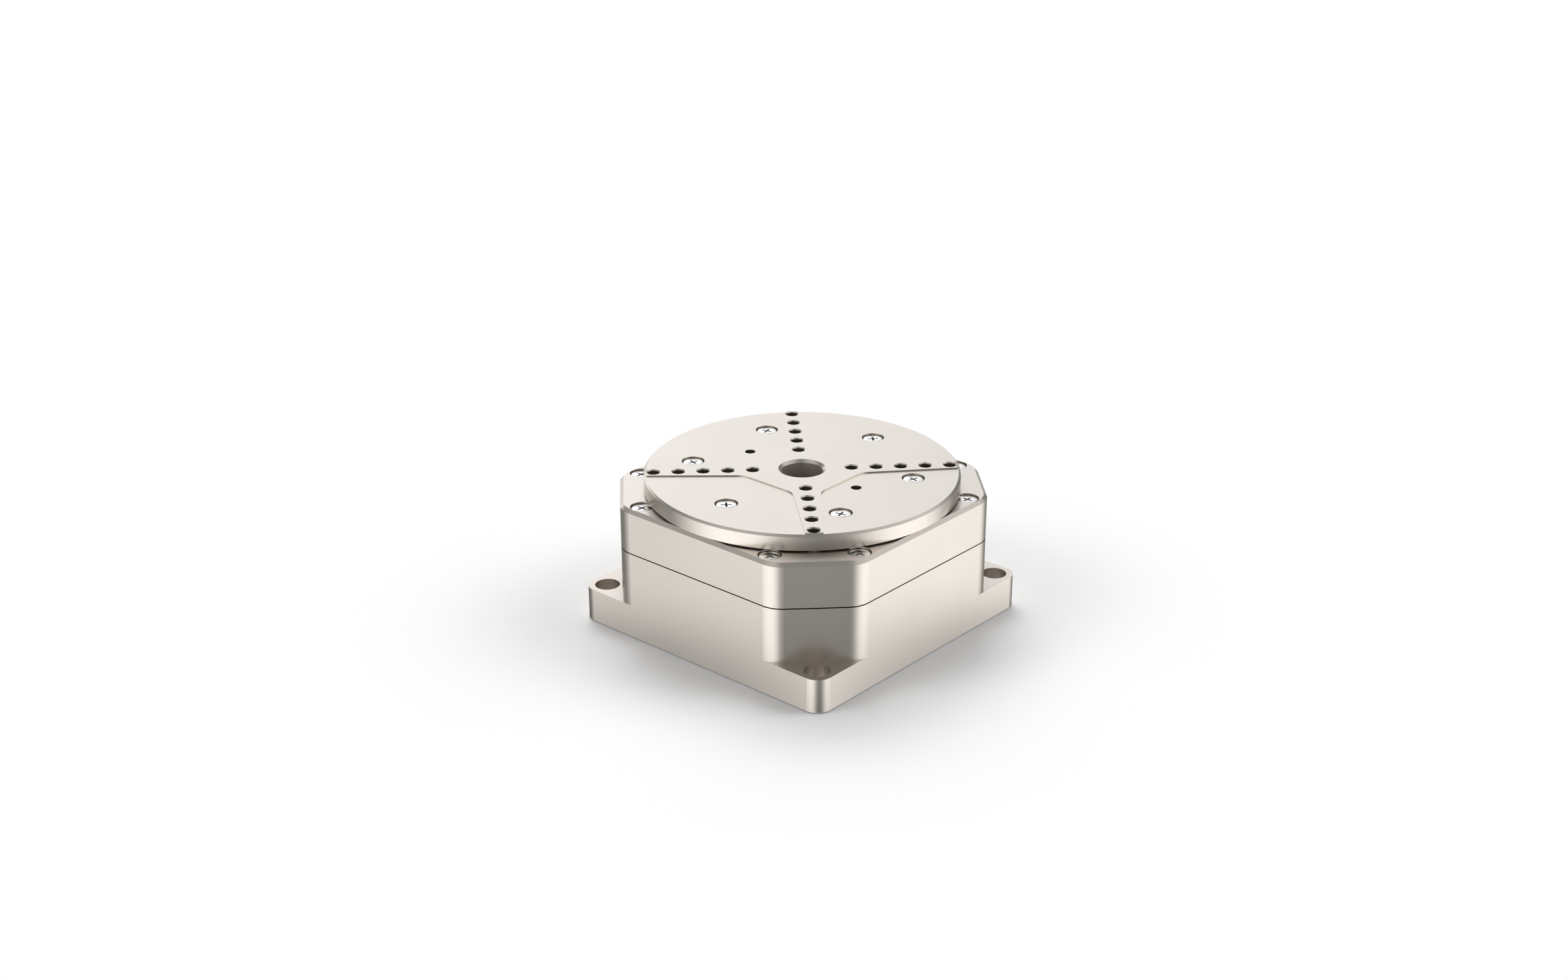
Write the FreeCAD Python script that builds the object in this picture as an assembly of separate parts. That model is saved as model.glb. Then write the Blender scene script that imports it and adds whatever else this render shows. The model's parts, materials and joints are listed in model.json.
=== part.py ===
import FreeCAD, Part
import math
import os

# Piezo rotation stage: a square foot with four bolt holes, an octagonal two-part housing
# and a round platform that turns without end on a crossed-roller bearing.
# Millimetres. Z is the axis of rotation, z = 0 is the face that the stage stands on.

V = FreeCAD.Vector
ORIGIN = V(0, 0, 0)
UP = V(0, 0, 1)
ROOT2 = math.sqrt(2)

# Crossed-roller bearing
bearing_bore_d = 50.0
bearing_section = 8.0
bearing_width = 8.0
bearing_ring_gap = 0.8
roller_d = 4.0
roller_length = 3.8
roller_count = 24
roller_play = 0.04
cage_thickness = 0.5
cage_edge_band = 0.8
cage_window_play = 0.15

# Spacer ring and nut that hold the bearing
clamp_thickness = 2.4
clamp_gap = 0.15
spacer_lip = 3.0
spacer_flange = 3.6
spacer_ledge = 1.2
outer_shoulder = 1.0
nut_lip = 3.2
nut_slot_count = 4
nut_first_slot_deg = 45.0
nut_slot_width = 3.0
nut_slot_length = 2.2
nut_slot_depth = 1.2

# Housing
housing_wall = 3.4
lower_housing_height = 23.35
upper_housing_height = 11.95
housing_edge_radius = 7.0
housing_top_chamfer = 0.9
seam_groove_height = 0.3
seam_groove_depth = 0.5
ear_height = 9.0
ear_corner_radius = 4.0
ear_hole_d = 6.4
ear_hole_edge = 4.645
ear_hole_to_face = 3.95
foot_chamfer = 0.25
web_thickness = 3.0
aperture_clearance = 0.7

# Housing screws, two beside each diagonal face
housing_screw_d = 3.0
housing_screw_wall = 5.4
housing_screw_spread_deg = 14.7
housing_screw_thread = 6.5
housing_head_d = 5.2
housing_head_height = 2.0
housing_head_sink = 0.38
housing_head_play = 0.35

# Platform
platform_thickness = 4.3
platform_gap = 0.4
platform_chamfer = 0.85
pocket_depth = 0.3
pocket_inner_distance = 13.0
pocket_corner_radius = 4.5
arm_end_half_width = 2.15
arm_taper_deg = 3.3
aperture_d = 10.6
aperture_chamfer = 0.73
grid_pitch = 6.25
first_hole_r = 12.5
arm_count = 4
first_arm_deg = 45.0
rim_margin = 2.0
tapped_hole_d = 3.0
tapped_hole_mouth_d = 3.55
dowel_hole_d = 2.7
dowel_hole_depth = 2.5
register_r = 9.5
register_height = 1.2

# Platform screws
platform_screw_count = 6
platform_screw_first_deg = 30.0
platform_screw_d = 2.5
platform_screw_edge = 3.1
platform_screw_tip_gap = 0.4
platform_head_d = 5.0
platform_head_height = 1.6
platform_head_sink = 0.33
platform_head_play = 0.42
platform_recess_deg = 45.0

# Rotor hub
flange_gap = 0.6
flange_relief = 0.3
hub_seat_r = 15.0
hub_step = 1.0
hub_floor_gap = 0.6

# Ceramic drive ring and encoder scale
drive_ring_wall = 3.0
drive_ring_height = 5.0
scale_thickness = 1.0
scale_overhang = 0.8
scale_width = 8.0
ride_height = 0.7

# Piezo motors
motor_count = 2
tip_gap = 0.05
tip_depth = 2.0
tip_width = 3.0
tip_chamfer = 0.6
tip_height_share = 0.8
plate_length = 24.0
plate_thickness = 3.0
frame_floor = 3.0
frame_wall = 1.6
frame_wall_height = 4.6
frame_play = 0.3
frame_gap = 0.5
frame_front_step = 0.6
frame_lug_round = 2.0
rear_wall_width = 10.0
rear_wall_thickness = 2.0
pad_size = 2.0
pad_height = 0.8
pad_spacing = 14.0
leaf_half_span = 8.0
leaf_rise = 1.6
leaf_thickness = 0.35
leaf_height = 2.4
leaf_space = 2.6
preload_screw_d = 2.5
preload_screw_length = 4.4
preload_slot_depth = 0.8
preload_slot_width = 0.4
motor_screw_edge = 3.9
lead_width = 4.0
lead_thickness = 0.15
lead_play = 0.2

# Encoder read head
head_length = 14.0
head_depth = 9.0
head_height = 5.0
head_corner_radius = 1.0
window_length = 5.0
window_depth = 4.0
window_thickness = 0.5
head_screw_edge = 2.5

# Electronics and bottom cover
cover_inset = 0.3
cover_thickness = 1.8
cover_rim = 2.5
cover_land = 3.6
cover_play = 0.15
cover_screw_count = 4
cover_screw_first_deg = 45.0
board_space = 3.9
board_thickness = 1.6
board_standoff = 0.6
standoff_r = 2.4
board_edge_gap = 0.5
board_hole_r = 8.0
board_screw_count = 3
board_screw_r = 24.0
board_screw_first_deg = 60.0
chip_height = 1.1
chip_size = 7.0
chip_count = 6
chip_first_deg = 30.0

# Connector on the back face
connector_height_z = 15.5
connector_flange_width = 24.0
connector_flange_height = 8.4
connector_flange_thickness = 1.2
connector_sink = 0.2
connector_body_width = 15.6
connector_body_height = 6.0
connector_body_length = 7.6
connector_play = 0.2
socket_width = 12.0
socket_height = 3.8
socket_depth = 4.0
socket_slant = 0.8
pin_width = 0.6
pin_length = 3.0
pin_pitch = 2.0
pin_row_z = 0.75
upper_pin_count = 5
lower_pin_count = 4
jack_screw_edge = 2.0
ribbon_width = 11.0
ribbon_thickness = 0.3
ribbon_run = 2.4
ribbon_bend_r = 1.2
ribbon_slot_play = 0.6

# Screws' cross recesses, as shares of the head
recess_span_share = 0.55
recess_depth_share = 0.6
recess_wing_share = 0.1

# Small inner screws, and the fits that repeat
small_screw_d = 2.0
small_head_d = 3.6
small_head_height = 1.3
small_thread = 3.0
socket_share = 0.25
blind_room = 0.5
thread_play = 0.02
shank_play = 0.2
countersink_play = 0.05
seat_play = 0.02

# Radii and half widths that follow
bearing_od = bearing_bore_d + 2 * bearing_section
pitch_r = (bearing_bore_d + bearing_od) / 4
inner_ring_r = pitch_r - bearing_ring_gap / 2
outer_ring_inner_r = pitch_r + bearing_ring_gap / 2
groove_half = (roller_d / 2 + roller_play) * ROOT2
spacer_inner_r = bearing_od / 2 - spacer_lip
spacer_r = bearing_od / 2 + spacer_flange
hub_thread_r = hub_seat_r + hub_step
drive_ring_r = hub_seat_r + drive_ring_wall
nut_r = bearing_bore_d / 2 + nut_lip
scale_r = nut_r + scale_overhang
cavity_r = spacer_r - spacer_ledge
housing_half = spacer_r + housing_wall
ear_hole_xy = housing_half - ear_hole_edge
diagonal_distance = ear_hole_xy * ROOT2 - ear_hole_to_face
housing_screw_r = spacer_r + housing_screw_wall
platform_r = housing_half
opening_r = bearing_od / 2 - outer_shoulder
flange_r = opening_r - flange_gap
platform_screw_r = flange_r - platform_screw_edge
aperture_r = aperture_d / 2
base_hole_r = aperture_r + aperture_clearance
dowel_xy = first_hole_r * ROOT2
holes_per_arm = 1 + int((platform_r - rim_margin - first_hole_r) / grid_pitch)
cover_recess_r = spacer_r - cover_rim
cover_screw_r = cover_recess_r - cover_land / 2
board_pocket_r = cover_recess_r - cover_land
board_r = board_pocket_r - board_edge_gap

# Heights that follow
cover_top = cover_inset + cover_thickness
web_bottom = cover_top + board_space
web_top = web_bottom + web_thickness
board_top = web_bottom - board_standoff
board_bottom = board_top - board_thickness
seam_z = lower_housing_height
housing_top = seam_z + upper_housing_height
platform_bottom = housing_top + platform_gap
platform_top = platform_bottom + platform_thickness
pocket_z = platform_top - pocket_depth
bearing_bottom = seam_z - clamp_gap
bearing_mid = bearing_bottom + bearing_width / 2
bearing_top = bearing_bottom + bearing_width
clamp_bottom = bearing_bottom - clamp_thickness
hub_body_bottom = bearing_bottom + clamp_gap
scale_bottom = clamp_bottom - scale_thickness
head_top = scale_bottom - ride_height
head_bottom = head_top - head_height
frame_top_of_floor = web_top + frame_floor
plate_bottom = frame_top_of_floor + pad_height
plate_mid = plate_bottom + plate_thickness / 2
ring_bottom = plate_mid - drive_ring_height / 2
ring_top = plate_mid + drive_ring_height / 2
hub_bottom = web_top + hub_floor_gap

# Motor layout along its own radius: the frame's round corners stand off the cavity's wall,
# and the plate takes the room between the rear wall's spring and the drive ring's tip
frame_half_width = plate_length / 2 + frame_play + frame_wall
frame_round_y = frame_half_width - frame_lug_round
frame_round_x = math.sqrt((cavity_r - frame_gap - frame_lug_round) ** 2 - frame_round_y ** 2)
rear_wall_outer = frame_round_x + frame_lug_round
rear_wall_inner = rear_wall_outer - rear_wall_thickness
plate_outer = rear_wall_inner - leaf_space
plate_inner = drive_ring_r + tip_gap + tip_depth
frame_front = plate_inner + frame_front_step
motor_screw_x = rear_wall_outer - small_head_d / 2
motor_screw_y = frame_half_width - motor_screw_edge
leaf_inner_x = plate_outer + seat_play
head_mid_r = scale_r - scale_width / 2
head_screw_x = head_length / 2 - head_screw_edge
jack_screw_x = connector_flange_width / 2 - jack_screw_edge
connector_face = housing_half - connector_sink
connector_back = connector_face - connector_flange_thickness - connector_body_length


def cylinder(radius, low, high, x=0.0, y=0.0):
    return Part.makeCylinder(radius, high - low, V(x, y, low))


def block(x_low, x_high, y_low, y_high, low, high):
    return Part.makeBox(x_high - x_low, y_high - y_low, high - low, V(x_low, y_low, low))


def tube(outer, inner, low, high):
    return cylinder(outer, low, high).cut(cylinder(inner, low, high))


def turned(profile):
    points = [V(radius, 0, height) for radius, height in profile]
    face = Part.Face(Part.makePolygon(points + points[:1]))
    return face.revolve(ORIGIN, UP, 360)


def extruded(outline, low, high):
    points = [V(x, y, low) for x, y in outline]
    face = Part.Face(Part.makePolygon(points + points[:1]))
    return face.extrude(V(0, 0, high - low))


def upright_edges(solid):
    found = []
    for edge in solid.Edges:
        start, end = edge.firstVertex().Point, edge.lastVertex().Point
        if abs(start.x - end.x) < 1e-6 and abs(start.y - end.y) < 1e-6:
            found.append(edge)
    return found


def edges_at(solid, height):
    return [edge for edge in solid.Edges
            if abs(edge.BoundBox.ZMin - height) < 1e-6 and abs(edge.BoundBox.ZMax - height) < 1e-6]


def moved(shape, x=0.0, y=0.0, z=0.0):
    copy = shape.copy()
    copy.translate(V(x, y, z))
    return copy


def spun(shape, degrees):
    copy = shape.copy()
    copy.rotate(ORIGIN, UP, degrees)
    return copy


def around(shape, count, first_deg=0.0):
    return [spun(shape, first_deg + 360.0 * index / count) for index in range(count)]


def on_circle(shape, radius, count, first_deg=0.0):
    return around(moved(shape, x=radius), count, first_deg)


def turned_outwards(shape):
    """Upright shape laid down, so that what pointed up points out of the back face."""
    copy = shape.copy()
    copy.rotate(ORIGIN, V(1, 0, 0), -90)
    return copy


def turned_over(shape):
    copy = shape.copy()
    copy.rotate(ORIGIN, V(1, 0, 0), 180)
    return copy


def save(name, shape):
    solid = Part.makeCompound(shape) if isinstance(shape, list) else shape
    solid.exportStep("parts/" + name + ".step")


# Screws. Each is made with its head's seat at z = 0, head up.

def cross_recess(head_d, top, depth):
    """Cross cut into a head of this diameter, down from the height top."""
    half_span = recess_span_share * head_d / 2
    half_wing = recess_wing_share * head_d / 2
    wing = block(-half_span, half_span, -half_wing, half_wing, top - depth, top)
    return wing.fuse(spun(wing, 90))


def plain_screw(head_d, head_height, shank_d, shank_length):
    """Cylindrical head with a cross recess, on a plain shank."""
    head = cylinder(head_d / 2, 0, head_height)
    recess = cross_recess(head_d, head_height, recess_depth_share * head_height)
    return head.fuse(cylinder(shank_d / 2, -shank_length, 0)).cut(recess)


def housing_seat_z():
    return housing_top - housing_head_sink - housing_head_height


def housing_screw():
    shank_length = housing_seat_z() - seam_z + housing_screw_thread
    return plain_screw(housing_head_d, housing_head_height, housing_screw_d, shank_length)


def platform_screw():
    tip_z = bearing_top + flange_relief + platform_screw_tip_gap
    return plain_screw(platform_head_d, platform_head_height, platform_screw_d, platform_seat_z() - tip_z)


def platform_seat_z():
    return pocket_z - platform_head_sink - platform_head_height


def small_screw(grip):
    """Socket head screw that grips a part of this thickness."""
    head = cylinder(small_head_d / 2, 0, small_head_height)
    corner_r = socket_share * small_head_d
    corners = [(corner_r * math.cos(index * math.pi / 3), corner_r * math.sin(index * math.pi / 3))
               for index in range(6)]
    socket = extruded(corners, small_head_height / 2, small_head_height)
    return head.fuse(cylinder(small_screw_d / 2, -grip - small_thread, 0)).cut(socket)


def small_countersunk_screw(grip):
    """Countersunk screw with its head's flat top at z = 0."""
    depth = (small_head_d - small_screw_d) / 2
    head = Part.makeCone(small_screw_d / 2, small_head_d / 2, depth, V(0, 0, -depth))
    shank = cylinder(small_screw_d / 2, -grip - small_thread, -depth)
    recess = cross_recess(small_head_d, 0, recess_depth_share * depth)
    return head.fuse(shank).cut(recess)


def countersunk_hole(depth):
    """Hole for that screw, through a part of this thickness whose face is at z = 0."""
    sink_depth = (small_head_d - small_screw_d) / 2
    low_r = small_screw_d / 2 + countersink_play
    sink = Part.makeCone(low_r, low_r + sink_depth, sink_depth, V(0, 0, -sink_depth))
    return sink.fuse(small_clear(-depth, 0))


def small_tapped(low, high):
    return cylinder(small_screw_d / 2 + thread_play, low, high)


def small_clear(low, high):
    return cylinder(small_screw_d / 2 + shank_play, low, high)


def at_board_screws(shape):
    return on_circle(shape, board_screw_r, board_screw_count, board_screw_first_deg)


def at_cover_screws(shape):
    return on_circle(shape, cover_screw_r, cover_screw_count, cover_screw_first_deg)


def at_platform_screws(shape):
    return on_circle(shape, platform_screw_r, platform_screw_count, platform_screw_first_deg)


def housing_screw_places():
    places = []
    for diagonal in (45, 135, 225, 315):
        for side in (-1, 1):
            angle = math.radians(diagonal + side * housing_screw_spread_deg)
            places.append((housing_screw_r * math.cos(angle), housing_screw_r * math.sin(angle)))
    return places


# Housing

def octagon(inset, low, high):
    """The housing's outline, its eight upright edges rounded, drawn in by inset."""
    half = housing_half - inset
    corner = (diagonal_distance - inset) * ROOT2 - half
    outline = [(half, -corner), (half, corner), (corner, half), (-corner, half),
               (-half, corner), (-half, -corner), (-corner, -half), (corner, -half)]
    prism = extruded(outline, low, high)
    return prism.makeFillet(housing_edge_radius - inset, upright_edges(prism))


def foot():
    slab = block(-housing_half, housing_half, -housing_half, housing_half, 0, ear_height)
    slab = slab.makeFillet(ear_corner_radius, upright_edges(slab))
    return slab.makeChamfer(foot_chamfer, edges_at(slab, 0))


def connector_cut():
    flange_x = connector_flange_width / 2 + connector_play
    flange_z = connector_flange_height / 2 + connector_play
    body_x = connector_body_width / 2 + connector_play
    body_z = connector_body_height / 2 + connector_play
    seat_y = connector_face - connector_flange_thickness
    seat = block(-flange_x, flange_x, seat_y, housing_half + 1,
                 connector_height_z - flange_z, connector_height_z + flange_z)
    window = block(-body_x, body_x, cavity_r - connector_body_length, housing_half,
                   connector_height_z - body_z, connector_height_z + body_z)
    return seat.fuse(window)


def ribbon_y():
    return connector_back - ribbon_run - ribbon_bend_r


def lower_housing():
    body = foot().fuse(octagon(0, ear_height / 2, seam_z)).removeSplitter()
    cuts = [cylinder(cavity_r, web_top, clamp_bottom),
            cylinder(spacer_r + seat_play, clamp_bottom, seam_z),
            cylinder(cover_recess_r, 0, cover_top),
            cylinder(board_pocket_r, cover_top, web_bottom),
            cylinder(base_hole_r, web_bottom, web_top),
            connector_cut()]
    slot_x = ribbon_width / 2 + ribbon_slot_play
    slot_y = ribbon_thickness / 2 + ribbon_slot_play
    cuts.append(block(-slot_x, slot_x, ribbon_y() - slot_y, ribbon_y() + slot_y, web_bottom, web_top))
    for x in (-ear_hole_xy, ear_hole_xy):
        for y in (-ear_hole_xy, ear_hole_xy):
            cuts.append(cylinder(ear_hole_d / 2, 0, ear_height, x, y))
    for x, y in housing_screw_places():
        cuts.append(cylinder(housing_screw_d / 2 + thread_play,
                             seam_z - housing_screw_thread - blind_room, seam_z, x, y))
    cuts += at_cover_screws(small_tapped(cover_top, cover_top + small_thread + blind_room))
    cuts += at_motor_screws(small_tapped(web_bottom, web_top))
    cuts += at_head_screws(small_tapped(web_bottom, web_top))
    cuts += jack_holes()
    cuts += around(motor_lead(web_bottom, web_top, lead_play), motor_count)
    cuts.append(read_head_lead(web_bottom, web_top, lead_play))
    body = body.cut(cuts)
    body = body.fuse(at_board_screws(cylinder(standoff_r, board_top, web_bottom)))
    return body.cut(at_board_screws(small_tapped(board_top, web_top))).removeSplitter()


def upper_housing():
    body = octagon(0, seam_z, housing_top)
    body = body.makeChamfer(housing_top_chamfer, edges_at(body, housing_top))
    groove = octagon(0, seam_z, seam_z + seam_groove_height)
    groove = groove.cut(octagon(seam_groove_depth, seam_z, seam_z + seam_groove_height))
    seat_z = housing_seat_z()
    counterbore = cylinder(housing_head_d / 2 + housing_head_play, seat_z, housing_top)
    stepped = counterbore.fuse(cylinder(housing_screw_d / 2 + shank_play, seam_z, seat_z))
    cuts = [groove,
            cylinder(bearing_od / 2 + seat_play, seam_z, bearing_top),
            cylinder(opening_r, bearing_top, housing_top)]
    cuts += [moved(stepped, x, y) for x, y in housing_screw_places()]
    return body.cut(cuts)


def housing_screws():
    return [moved(housing_screw(), x, y, housing_seat_z()) for x, y in housing_screw_places()]


# Platform: a disc whose top keeps a raised cross, four pockets milled between its arms

def pocket():
    taper = math.tan(math.radians(arm_taper_deg))
    root = arm_end_half_width + (platform_r - rim_margin / 2) * taper
    corner_y = (pocket_inner_distance * (1 + taper) - ROOT2 * root) / (1 - taper)
    run = 2 * platform_r
    angle = math.radians(first_arm_deg + arm_taper_deg)
    far_x = pocket_inner_distance + run * math.cos(angle)
    far_y = corner_y + run * math.sin(angle)
    outline = [(pocket_inner_distance, -corner_y), (far_x, -far_y), (far_x, far_y),
               (pocket_inner_distance, corner_y)]
    prism = extruded(outline, pocket_z, platform_top + 1)
    inner_edges = [edge for edge in upright_edges(prism)
                   if abs(edge.firstVertex().Point.x - pocket_inner_distance) < 1e-6]
    return prism.makeFillet(pocket_corner_radius, inner_edges)


def tapped_hole():
    mouth_depth = (tapped_hole_mouth_d - tapped_hole_d) / 2
    mouth = Part.makeCone(tapped_hole_d / 2, tapped_hole_mouth_d / 2, mouth_depth,
                          V(0, 0, platform_top - mouth_depth))
    return cylinder(tapped_hole_d / 2, platform_bottom, platform_top).fuse(mouth)


def platform():
    disc = cylinder(platform_r, platform_bottom, platform_top)
    disc = disc.makeChamfer(platform_chamfer, edges_at(disc, platform_top))
    disc = disc.fuse(cylinder(register_r, platform_bottom - register_height, platform_bottom))
    mouth = Part.makeCone(aperture_r, aperture_r + aperture_chamfer, aperture_chamfer,
                          V(0, 0, platform_top - aperture_chamfer))
    counterbore = cylinder(platform_head_d / 2 + platform_head_play, platform_seat_z(), platform_top)
    passage = cylinder(platform_screw_d / 2 + shank_play, platform_bottom, platform_seat_z())
    cuts = around(pocket(), arm_count)
    cuts += [cylinder(aperture_r, platform_bottom - register_height, platform_top), mouth]
    for row in range(holes_per_arm):
        cuts += on_circle(tapped_hole(), first_hole_r + row * grid_pitch, arm_count, first_arm_deg)
    cuts += at_platform_screws(counterbore.fuse(passage))
    cuts += on_circle(cylinder(dowel_hole_d / 2, pocket_z - dowel_hole_depth, platform_top), dowel_xy, 2)
    return disc.cut(cuts)


def platform_screws():
    screw = spun(platform_screw(), platform_recess_deg)
    return at_platform_screws(moved(screw, z=platform_seat_z()))


# Rotor under the platform

def rotor_hub():
    land_r = bearing_bore_d / 2 + nut_lip
    body = turned([(aperture_r, hub_bottom), (hub_seat_r, hub_bottom), (hub_seat_r, ring_top),
                   (hub_thread_r, ring_top), (hub_thread_r, hub_body_bottom),
                   (bearing_bore_d / 2 - seat_play, hub_body_bottom),
                   (bearing_bore_d / 2 - seat_play, bearing_top), (land_r, bearing_top),
                   (land_r, bearing_top + flange_relief), (flange_r, bearing_top + flange_relief),
                   (flange_r, platform_bottom), (aperture_r, platform_bottom)])
    cuts = [cylinder(register_r + seat_play, platform_bottom - register_height, platform_bottom)]
    tapped = cylinder(platform_screw_d / 2 + thread_play, bearing_top + flange_relief, platform_bottom)
    cuts += at_platform_screws(tapped)
    return body.cut(cuts)


def drive_ring():
    return tube(drive_ring_r, hub_seat_r + seat_play, ring_bottom, ring_top)


def bearing_nut():
    """Nut on the hub's thread, under the inner ring, with slots for a pin spanner."""
    ring = tube(nut_r, hub_thread_r + thread_play, clamp_bottom, bearing_bottom)
    slot = block(0, hub_thread_r + nut_slot_length, -nut_slot_width / 2, nut_slot_width / 2,
                 clamp_bottom, clamp_bottom + nut_slot_depth)
    return ring.cut(around(slot, nut_slot_count, nut_first_slot_deg))


def encoder_scale():
    return tube(scale_r, scale_r - scale_width, scale_bottom, clamp_bottom)


# Crossed-roller bearing: square channel on its corner, rollers turned by 90 degrees in turn

def bearing_inner_ring():
    lip = groove_half - bearing_ring_gap / 2
    bore = bearing_bore_d / 2
    return turned([(bore, bearing_bottom), (inner_ring_r, bearing_bottom),
                   (inner_ring_r, bearing_mid - lip), (pitch_r - groove_half, bearing_mid),
                   (inner_ring_r, bearing_mid + lip), (inner_ring_r, bearing_top), (bore, bearing_top)])


def bearing_outer_half(side):
    """One of the two halves of the outer ring: side is 1 above the rollers, -1 below."""
    lip = groove_half - bearing_ring_gap / 2
    outer = bearing_od / 2
    half = bearing_width / 2
    profile = [(outer, 0), (outer, half), (outer_ring_inner_r, half), (outer_ring_inner_r, lip),
               (pitch_r + groove_half, 0)]
    return turned([(radius, bearing_mid + side * height) for radius, height in profile])


def bearing_rollers():
    lying = Part.makeCylinder(roller_d / 2, roller_length, V(0, 0, -roller_length / 2))
    rollers = []
    for index in range(roller_count):
        roller = lying.copy()
        roller.rotate(ORIGIN, V(0, 1, 0), 45 if index % 2 else -45)
        roller.translate(V(pitch_r, 0, bearing_mid))
        rollers.append(spun(roller, 360.0 * index / roller_count))
    return rollers


def bearing_cage():
    window_z = groove_half + cage_window_play
    band_z = min(window_z + cage_edge_band, bearing_width / 2)
    window_y = roller_d / 2 + cage_window_play
    band = tube(pitch_r + cage_thickness / 2, pitch_r - cage_thickness / 2,
                bearing_mid - band_z, bearing_mid + band_z)
    window = block(pitch_r - cage_thickness, pitch_r + cage_thickness, -window_y, window_y,
                   bearing_mid - window_z, bearing_mid + window_z)
    return band.cut(around(window, roller_count))


def spacer_ring():
    """Ring on the lower housing's ledge that the housing screws press up against the outer ring."""
    return tube(spacer_r, spacer_inner_r, clamp_bottom, bearing_bottom)


# Piezo motors. Each is drawn on the +X side, its drive tip towards the axis.

def at_frame_screws(shape):
    return [moved(shape, motor_screw_x, y) for y in (-motor_screw_y, motor_screw_y)]


def at_motor_screws(shape):
    return [copy for screw in at_frame_screws(shape) for copy in around(screw, motor_count)]


def motor_lead(low, high, play=0.0):
    """Flat lead down the end of the piezo plate, or with play the slot that it passes through."""
    middle_x = (plate_inner + plate_outer) / 2
    end_y = plate_length / 2
    return block(middle_x - lead_width / 2 - play, middle_x + lead_width / 2 + play,
                 end_y - play, end_y + lead_thickness + play, low, high)


def motor_frame():
    wall_top = frame_top_of_floor + frame_wall_height
    floor = block(frame_front, rear_wall_outer, -frame_half_width, frame_half_width,
                  web_top, frame_top_of_floor)
    outer_edges = [edge for edge in upright_edges(floor)
                   if abs(edge.firstVertex().Point.x - rear_wall_outer) < 1e-6]
    body = floor.makeFillet(frame_lug_round, outer_edges)
    for side in (-1, 1):
        inner, outer = sorted((side * (frame_half_width - frame_wall), side * frame_half_width))
        body = body.fuse(block(frame_front, plate_outer, inner, outer, web_top, wall_top))
    body = body.fuse(block(rear_wall_inner, rear_wall_outer, -rear_wall_width / 2, rear_wall_width / 2,
                           web_top, wall_top))
    cuts = at_frame_screws(small_clear(web_top, frame_top_of_floor))
    cuts.append(Part.makeCylinder(preload_screw_d / 2 + thread_play, rear_wall_thickness,
                                  V(rear_wall_inner, 0, plate_mid), V(1, 0, 0)))
    cuts.append(motor_lead(web_top, frame_top_of_floor, lead_play))
    return body.cut(cuts).removeSplitter()


def motor_screws():
    return at_motor_screws(moved(small_screw(frame_floor), z=frame_top_of_floor))


def piezo_plate():
    return block(plate_inner, plate_outer, -plate_length / 2, plate_length / 2,
                 plate_bottom, plate_bottom + plate_thickness)


def drive_tip():
    height = plate_thickness * tip_height_share
    tip = block(plate_inner - tip_depth, plate_inner, -tip_width / 2, tip_width / 2,
                plate_mid - height / 2, plate_mid + height / 2)
    front_edges = [edge for edge in upright_edges(tip)
                   if abs(edge.firstVertex().Point.x - (plate_inner - tip_depth)) < 1e-6]
    return tip.makeChamfer(tip_chamfer, front_edges)


def nodal_pads():
    pads = []
    for x in (plate_inner + pad_size, plate_outer - pad_size):
        for y in (-pad_spacing / 2, pad_spacing / 2):
            pads.append(block(x - pad_size / 2, x + pad_size / 2, y - pad_size / 2, y + pad_size / 2,
                              frame_top_of_floor, plate_bottom))
    return pads


def preload_spring():
    radius = (leaf_half_span ** 2 + leaf_rise ** 2) / (2 * leaf_rise)
    centre_x = leaf_inner_x + leaf_rise - radius
    low, high = plate_mid - leaf_height / 2, plate_mid + leaf_height / 2
    bow = cylinder(radius + leaf_thickness, low, high, centre_x)
    bow = bow.cut(cylinder(radius, low, high, centre_x))
    return bow.common(block(leaf_inner_x, plate_outer + 2 * leaf_space,
                            -2 * leaf_half_span, 2 * leaf_half_span, low, high))


def preload_screw():
    tip_x = leaf_inner_x + leaf_rise + leaf_thickness + seat_play
    end_x = tip_x + preload_screw_length
    screw = Part.makeCylinder(preload_screw_d / 2, preload_screw_length,
                              V(tip_x, 0, plate_mid), V(1, 0, 0))
    slot = block(end_x - preload_slot_depth, end_x, -preload_screw_d, preload_screw_d,
                 plate_mid - preload_slot_width / 2, plate_mid + preload_slot_width / 2)
    return screw.cut(slot)


# Encoder read head, on the -Y side under the scale

def at_head_screws(shape):
    return [moved(shape, x, -head_mid_r) for x in (-head_screw_x, head_screw_x)]


def head_block(low, high):
    near, far = -head_mid_r - head_depth / 2, -head_mid_r + head_depth / 2
    return block(-head_length / 2, head_length / 2, near, far, low, high)


def read_head_block():
    """Block that lifts the read head to its running distance below the scale."""
    return head_block(web_top, head_bottom).cut(at_head_screws(small_clear(web_top, head_bottom)))


def read_head():
    body = head_block(head_bottom, head_top)
    body = body.makeFillet(head_corner_radius, upright_edges(body))
    stepped = small_clear(head_bottom, head_top).fuse(
        cylinder(small_head_d / 2 + shank_play / 2, head_top - small_head_height, head_top))
    return body.cut(at_head_screws(stepped) + [read_head_window()])


def read_head_window():
    return block(-window_length / 2, window_length / 2, -head_mid_r - window_depth / 2,
                 -head_mid_r + window_depth / 2, head_top - window_thickness, head_top)


def read_head_screws():
    seat_z = head_top - small_head_height
    return at_head_screws(moved(small_screw(seat_z - web_top), z=seat_z))


def read_head_lead(low, high, play=0.0):
    """Flat lead down the inner side of the read head, or with play the slot that it passes through."""
    side_y = -head_mid_r + head_depth / 2
    return block(-lead_width / 2 - play, lead_width / 2 + play, side_y - play,
                 side_y + lead_thickness + play, low, high)


# Electronics and cover under the web

def circuit_board():
    board = tube(board_r, board_hole_r, board_bottom, board_top)
    return board.cut(at_board_screws(small_clear(board_bottom, board_top)))


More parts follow.
